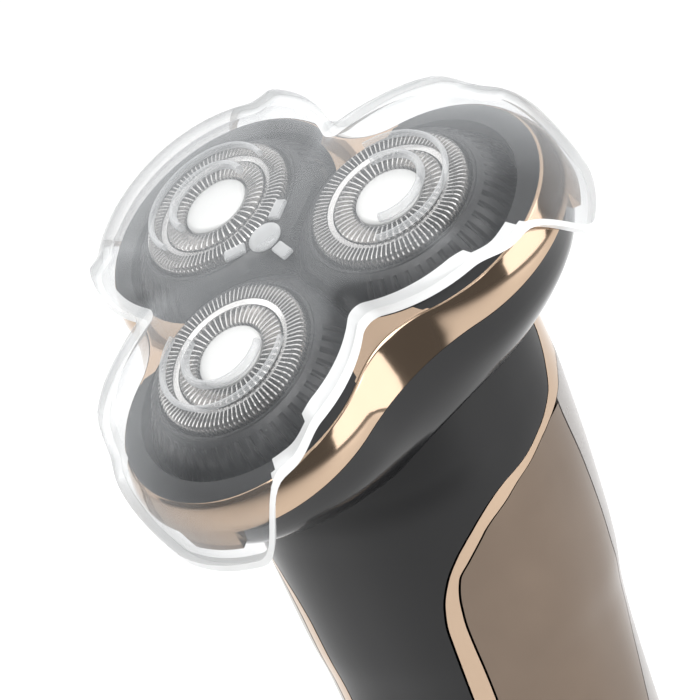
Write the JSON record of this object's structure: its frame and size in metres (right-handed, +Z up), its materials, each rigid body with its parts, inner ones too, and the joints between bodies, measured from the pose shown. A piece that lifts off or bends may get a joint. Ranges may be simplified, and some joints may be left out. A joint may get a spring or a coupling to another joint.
{
  "type": "rotary shaver",
  "caption": "Cordless rotary shaver with a clear guard over floating slotted foils, a pull-off lobed head, a geared drive, a tapered handle and a pop-up trimmer.",
  "frame": {"origin": "centre of the flat base that the shaver stands on", "axes": "+Z up along the handle toward the head, -Y toward the front panel, +X to the shaver's right"},
  "size_m": [0.0722, 0.0662, 0.1744],
  "materials": {
    "clear": "frosted clear polycarbonate",
    "gloss_black": "gloss",
    "matte_black": "satin",
    "champagne": "tinted plating",
    "bronze": "dark tinted plating",
    "silver": "pearl gloss",
    "foil": "ground",
    "satin": "satin",
    "steel": "machined",
    "acetal": "moulded",
    "board": "satin",
    "cell": "sleeved",
    "rubber": "matte"
  },
  "bodies": {
    "handle": {"front_panel": "gloss_black", "trim_strip_left": "champagne", "trim_strip_right": "champagne", "side_panel_left": "bronze", "side_panel_right": "bronze", "back_shell": "silver", "chassis": "matte_black", "battery_cell": "cell", "circuit_board": "board", "neck_ring": "matte_black", "base_cap": "gloss_black", "base_seal": "rubber", "charge_socket": "steel", "button_ring": "champagne", "display_window": "gloss_black", "trimmer_pin": "steel", "head_base": "gloss_black", "drive_deck": "matte_black", "motor_can": "steel"},
    "head": {"head_trim": "champagne", "frame_plate": "matte_black", "retainer": "acetal"},
    "cap": {"clear_cap": "clear"},
    "pinion": {"pinion": "steel", "motor_shaft": "steel"},
    "button": {"power_button": "gloss_black"},
    "trimmer": {"trimmer_cover": "silver", "trimmer_comb": "steel"},
    "blade": {"trimmer_blade": "steel"},
    "unit_front": {"petal_front": "gloss_black", "foil_front": "foil", "centre_disc_front": "satin"},
    "cutter_front": {"rotor_front": "steel"},
    "gear_front": {"gear_front": "acetal", "spindle_front": "steel", "spring_front": "steel"},
    "unit_right": {"petal_right": "gloss_black", "foil_right": "foil", "centre_disc_right": "satin"},
    "cutter_right": {"rotor_right": "steel"},
    "gear_right": {"gear_right": "acetal", "spindle_right": "steel", "spring_right": "steel"},
    "unit_left": {"petal_left": "gloss_black", "foil_left": "foil", "centre_disc_left": "satin"},
    "cutter_left": {"rotor_left": "steel"},
    "gear_left": {"gear_left": "acetal", "spindle_left": "steel", "spring_left": "steel"}
  },
  "joints": [
    {"name": "head_pull_off", "type": "slide", "parent": "handle", "child": "head", "axis": [0, -0.3746, 0.9272], "range_m": [0, 0.03]},
    {"name": "cap_pull_off", "type": "slide", "parent": "head", "child": "cap", "axis": [0, -0.3746, 0.9272], "range_m": [0, 0.03]},
    {"name": "unit_front_float", "type": "hinge", "parent": "head", "child": "unit_front", "pos_m": [0, -0.02197, 0.15433], "axis": [1, 0, 0], "range_deg": [-2.5, 1.5], "stiffness_Nm_per_rad": 0.05},
    {"name": "cutter_front_spin", "type": "hinge", "parent": "unit_front", "child": "cutter_front", "pos_m": [0, -0.02369, 0.15794], "axis": [0, -0.4305, 0.9026], "continuous": true},
    {"name": "gear_front_spin", "type": "hinge", "parent": "handle", "child": "gear_front", "pos_m": [0, -0.01785, 0.14348], "axis": [0, -0.3746, 0.9272], "continuous": true},
    {"name": "unit_right_float", "type": "hinge", "parent": "head", "child": "unit_right", "pos_m": [0.01379, 0.00018, 0.16328], "axis": [-0.5, 0.803, 0.3244], "range_deg": [-2.5, 1.5], "stiffness_Nm_per_rad": 0.05},
    {"name": "cutter_right_spin", "type": "hinge", "parent": "unit_right", "child": "cutter_right", "pos_m": [0.014, -0.0012, 0.16703], "axis": [0.0529, -0.3456, 0.9369], "continuous": true},
    {"name": "gear_right_spin", "type": "hinge", "parent": "handle", "child": "gear_right", "pos_m": [0.014, 0.00464, 0.15257], "axis": [0, -0.3746, 0.9272], "continuous": true},
    {"name": "unit_left_float", "type": "hinge", "parent": "head", "child": "unit_left", "pos_m": [-0.01379, 0.00018, 0.16328], "axis": [-0.5, -0.803, -0.3244], "range_deg": [-2.5, 1.5], "stiffness_Nm_per_rad": 0.05},
    {"name": "cutter_left_spin", "type": "hinge", "parent": "unit_left", "child": "cutter_left", "pos_m": [-0.014, -0.0012, 0.16703], "axis": [-0.0529, -0.3456, 0.9369], "continuous": true},
    {"name": "gear_left_spin", "type": "hinge", "parent": "handle", "child": "gear_left", "pos_m": [-0.014, 0.00464, 0.15257], "axis": [0, -0.3746, 0.9272], "continuous": true},
    {"name": "pinion_spin", "type": "hinge", "parent": "handle", "child": "pinion", "pos_m": [0, -0.00286, 0.14954], "axis": [0, -0.3746, 0.9272], "continuous": true},
    {"name": "power_press", "type": "slide", "parent": "handle", "child": "button", "axis": [0, 1, 0], "range_m": [0, 0.0008], "stiffness_N_per_m": 900},
    {"name": "trimmer_flip", "type": "hinge", "parent": "handle", "child": "trimmer", "pos_m": [0, 0.0197, 0.076], "axis": [-1, 0, 0], "range_deg": [0, 50]},
    {"name": "blade_shuttle", "type": "slide", "parent": "trimmer", "child": "blade", "axis": [1, 0, 0], "range_m": [-0.0007, 0.0007]}
  ],
  "couplings": [
    {"joint": "cutter_front_spin", "follows": "gear_front_spin", "ratio": 1},
    {"joint": "gear_right_spin", "follows": "gear_front_spin", "ratio": 1},
    {"joint": "cutter_right_spin", "follows": "gear_front_spin", "ratio": 1},
    {"joint": "gear_left_spin", "follows": "gear_front_spin", "ratio": 1},
    {"joint": "cutter_left_spin", "follows": "gear_front_spin", "ratio": 1},
    {"joint": "pinion_spin", "follows": "gear_front_spin", "ratio": -2.6667}
  ]
}
